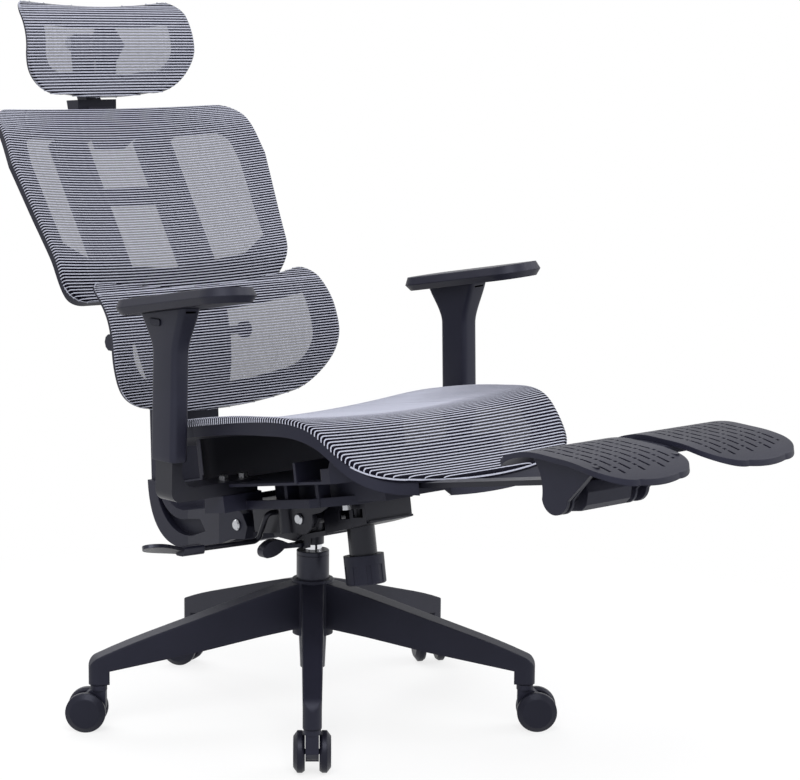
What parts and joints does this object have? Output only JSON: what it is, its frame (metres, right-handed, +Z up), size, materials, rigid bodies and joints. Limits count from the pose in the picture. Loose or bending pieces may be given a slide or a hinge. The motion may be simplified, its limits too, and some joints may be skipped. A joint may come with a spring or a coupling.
{
  "type": "reclining office chair with footrest",
  "caption": "High-back office chair with mesh seat, back, lumbar and head pads on black frames, height-adjustable armrests, tilt mechanism, gas lift, star base and pull-out footrest.",
  "frame": {"origin": "on the floor under the axis of the gas lift", "axes": "+Z up, the sitter faces -Y and the sitter's right hand is at -X"},
  "size_m": [0.7282, 1.4096, 1.078],
  "materials": {
    "black_nylon": "fine matte moulding grain",
    "wheel_tread": "satin",
    "lift_chrome": "polished",
    "black_steel": "satin powder coat",
    "zinc_steel": "zinc plated",
    "stretch_mesh": "two-tone stretched knit, light yarn bands on a dark ground",
    "arm_pad_pu": "soft-touch satin"
  },
  "bodies": {
    "base": {"star_base": "black_nylon", "column_tube": "black_steel", "column_bush": "black_nylon"},
    "caster_1": {"caster_1_fork": "black_nylon"},
    "caster_1_a": {"caster_1_wheel_a": "wheel_tread"},
    "caster_1_b": {"caster_1_wheel_b": "wheel_tread"},
    "caster_2": {"caster_2_fork": "black_nylon"},
    "caster_2_a": {"caster_2_wheel_a": "wheel_tread"},
    "caster_2_b": {"caster_2_wheel_b": "wheel_tread"},
    "caster_3": {"caster_3_fork": "black_nylon"},
    "caster_3_a": {"caster_3_wheel_a": "wheel_tread"},
    "caster_3_b": {"caster_3_wheel_b": "wheel_tread"},
    "caster_4": {"caster_4_fork": "black_nylon"},
    "caster_4_a": {"caster_4_wheel_a": "wheel_tread"},
    "caster_4_b": {"caster_4_wheel_b": "wheel_tread"},
    "caster_5": {"caster_5_fork": "black_nylon"},
    "caster_5_a": {"caster_5_wheel_a": "wheel_tread"},
    "caster_5_b": {"caster_5_wheel_b": "wheel_tread"},
    "swivel": {"piston_rod": "zinc_steel"},
    "lift": {"pressure_tube": "lift_chrome", "chassis": "black_steel", "main_pin": "zinc_steel"},
    "height_lever": {"height_lever": "black_nylon"},
    "tilt": {"tilt_housing": "black_steel", "tension_tube": "black_steel", "rear_pin": "zinc_steel", "seat_plate": "black_nylon", "seat_bolts": "zinc_steel", "seat_shell": "black_nylon", "seat_mesh": "stretch_mesh", "arm_bracket_right": "black_steel", "arm_bracket_left": "black_steel", "arm_bolts": "zinc_steel"},
    "tension_knob": {"tension_knob": "black_nylon"},
    "tilt_lever": {"tilt_lever_rod": "black_steel", "tilt_lever_leaf": "black_nylon"},
    "recline": {"back_bracket": "black_nylon", "spine": "black_nylon"},
    "lumbar_knobs": {"lumbar_shaft": "black_nylon"},
    "lumbar": {"lumbar_mesh": "stretch_mesh", "lumbar_frame": "black_nylon"},
    "backrest": {"back_mesh": "stretch_mesh", "back_frame": "black_nylon"},
    "head_post": {"head_post": "black_nylon", "head_pivot": "zinc_steel"},
    "headrest": {"head_mesh": "stretch_mesh", "head_frame": "black_nylon"},
    "arm_right": {"arm_sleeve_right": "black_nylon"},
    "arm_button_right": {"arm_button_right": "black_nylon"},
    "arm_pad_right": {"arm_pad_right": "arm_pad_pu"},
    "arm_left": {"arm_sleeve_left": "black_nylon"},
    "arm_button_left": {"arm_button_left": "black_nylon"},
    "arm_pad_left": {"arm_pad_left": "arm_pad_pu"},
    "footrest_slide": {"footrest_bar": "black_steel", "footrest_yoke": "black_nylon"},
    "footrest": {"footrest_axle": "zinc_steel", "footrest_pad_right": "black_nylon", "footrest_pad_left": "black_nylon", "footrest_bridge": "black_nylon"}
  },
  "joints": [
    {"name": "caster_1_swivel", "type": "hinge", "parent": "base", "child": "caster_1", "pos_m": [-0.21623, -0.25587, 0.06], "axis": [0, 0, 1], "continuous": true},
    {"name": "caster_1_roll_a", "type": "hinge", "parent": "caster_1", "child": "caster_1_a", "pos_m": [-0.20461, -0.24212, 0.03], "axis": [-0.7638, 0.6455, 0], "continuous": true},
    {"name": "caster_1_roll_b", "type": "hinge", "parent": "caster_1", "child": "caster_1_b", "pos_m": [-0.20461, -0.24212, 0.03], "axis": [-0.7638, 0.6455, 0], "continuous": true},
    {"name": "caster_2_swivel", "type": "hinge", "parent": "base", "child": "caster_2", "pos_m": [0.17653, -0.28471, 0.06], "axis": [0, 0, 1], "continuous": true},
    {"name": "caster_2_roll_a", "type": "hinge", "parent": "caster_2", "child": "caster_2_a", "pos_m": [0.18986, -0.29681, 0.03], "axis": [0.6717, 0.7408, 0], "continuous": true},
    {"name": "caster_2_roll_b", "type": "hinge", "parent": "caster_2", "child": "caster_2_b", "pos_m": [0.18986, -0.29681, 0.03], "axis": [0.6717, 0.7408, 0], "continuous": true},
    {"name": "caster_3_swivel", "type": "hinge", "parent": "base", "child": "caster_3", "pos_m": [0.32533, 0.07991, 0.06], "axis": [0, 0, 1], "continuous": true},
    {"name": "caster_3_roll_a", "type": "hinge", "parent": "caster_3", "child": "caster_3_a", "pos_m": [0.33433, 0.0955, 0.03], "axis": [-0.866, 0.5, 0], "continuous": true},
    {"name": "caster_3_roll_b", "type": "hinge", "parent": "caster_3", "child": "caster_3_b", "pos_m": [0.33433, 0.0955, 0.03], "axis": [-0.866, 0.5, 0], "continuous": true},
    {"name": "caster_4_swivel", "type": "hinge", "parent": "base", "child": "caster_4", "pos_m": [0.02453, 0.3341, 0.06], "axis": [0, 0, 1], "continuous": true},
    {"name": "caster_4_roll_a", "type": "hinge", "parent": "caster_4", "child": "caster_4_a", "pos_m": [0.01608, 0.34999, 0.03], "axis": [-0.8829, -0.4695, 0], "continuous": true},
    {"name": "caster_4_roll_b", "type": "hinge", "parent": "caster_4", "child": "caster_4_b", "pos_m": [0.01608, 0.34999, 0.03], "axis": [-0.8829, -0.4695, 0], "continuous": true},
    {"name": "caster_5_swivel", "type": "hinge", "parent": "base", "child": "caster_5", "pos_m": [-0.31017, 0.12658, 0.06], "axis": [0, 0, 1], "continuous": true},
    {"name": "caster_5_roll_a", "type": "hinge", "parent": "caster_5", "child": "caster_5_a", "pos_m": [-0.3235, 0.13867, 0.03], "axis": [-0.6717, -0.7408, 0], "continuous": true},
    {"name": "caster_5_roll_b", "type": "hinge", "parent": "caster_5", "child": "caster_5_b", "pos_m": [-0.3235, 0.13867, 0.03], "axis": [-0.6717, -0.7408, 0], "continuous": true},
    {"name": "chair_swivel", "type": "hinge", "parent": "base", "child": "swivel", "pos_m": [0, 0, 0.07], "axis": [0, 0, 1], "continuous": true},
    {"name": "gas_lift", "type": "slide", "parent": "swivel", "child": "lift", "axis": [0, 0, 1], "range_m": [0, 0.1]},
    {"name": "height_lever_pull", "type": "hinge", "parent": "lift", "child": "height_lever", "pos_m": [-0.03, -0.012, 0.2675], "axis": [0, 1, 0], "range_deg": [0, 5], "stiffness_Nm_per_rad": 0.6, "springref_deg": -5.73},
    {"name": "seat_tilt", "type": "hinge", "parent": "lift", "child": "tilt", "pos_m": [0, -0.064, 0.32], "axis": [1, 0, 0], "range_deg": [-2.1, 4.2]},
    {"name": "tension_knob_turn", "type": "hinge", "parent": "tilt", "child": "tension_knob", "pos_m": [0, -0.1206, 0.24228], "axis": [0, 0.165, 0.9863], "range_deg": [-1080, 1080]},
    {"name": "tilt_lever_turn", "type": "hinge", "parent": "tilt", "child": "tilt_lever", "pos_m": [-0.08, -0.006, 0.321], "axis": [1, 0, 0], "range_deg": [0, 12]},
    {"name": "back_recline", "type": "hinge", "parent": "tilt", "child": "recline", "pos_m": [0, 0.08501, 0.28706], "axis": [1, 0, 0], "range_deg": [-7.1, 14.1]},
    {"name": "lumbar_knob_turn", "type": "hinge", "parent": "recline", "child": "lumbar_knobs", "pos_m": [0, 0.333, 0.547], "axis": [1, 0, 0], "range_deg": [-90, 90]},
    {"name": "lumbar_tilt", "type": "hinge", "parent": "recline", "child": "lumbar", "pos_m": [0, 0.333, 0.547], "axis": [1, 0, 0], "range_deg": [-6, 6]},
    {"name": "back_height", "type": "slide", "parent": "recline", "child": "backrest", "axis": [0, 0.5358, 0.8443], "range_m": [0, 0.05]},
    {"name": "headrest_height", "type": "slide", "parent": "backrest", "child": "head_post", "axis": [0, 0.5358, 0.8443], "range_m": [0, 0.03]},
    {"name": "headrest_tilt", "type": "hinge", "parent": "head_post", "child": "headrest", "pos_m": [0, 0.598, 1.01], "axis": [1, 0, 0], "range_deg": [-25, 5]},
    {"name": "arm_right_height", "type": "slide", "parent": "tilt", "child": "arm_right", "axis": [0.0262, 0, 0.9997], "range_m": [-0.012, 0.05]},
    {"name": "arm_right_button", "type": "slide", "parent": "arm_right", "child": "arm_button_right", "axis": [1, 0, 0], "range_m": [0, 0.0025], "stiffness_N_per_m": 400, "springref_m": -0.002},
    {"name": "arm_right_pad_slide", "type": "slide", "parent": "arm_right", "child": "arm_pad_right", "axis": [0, -0.9863, 0.165], "range_m": [-0.03, 0.03]},
    {"name": "arm_left_height", "type": "slide", "parent": "tilt", "child": "arm_left", "axis": [-0.0262, 0, 0.9997], "range_m": [-0.012, 0.05]},
    {"name": "arm_left_button", "type": "slide", "parent": "arm_left", "child": "arm_button_left", "axis": [-1, 0, 0], "range_m": [0, 0.0025], "stiffness_N_per_m": 400, "springref_m": -0.002},
    {"name": "arm_left_pad_slide", "type": "slide", "parent": "arm_left", "child": "arm_pad_left", "axis": [0, -0.9863, 0.165], "range_m": [-0.03, 0.03]},
    {"name": "footrest_slide", "type": "slide", "parent": "tilt", "child": "footrest_slide", "axis": [0, -0.9863, 0.165], "range_m": [-0.19, 0]},
    {"name": "footrest_flip", "type": "hinge", "parent": "footrest_slide", "child": "footrest", "pos_m": [-0.1, -0.68156, 0.45883], "axis": [1, 0, 0], "range_deg": [0, 170]}
  ],
  "couplings": [
    {"joint": "back_recline", "follows": "seat_tilt", "ratio": 3.3333}
  ]
}
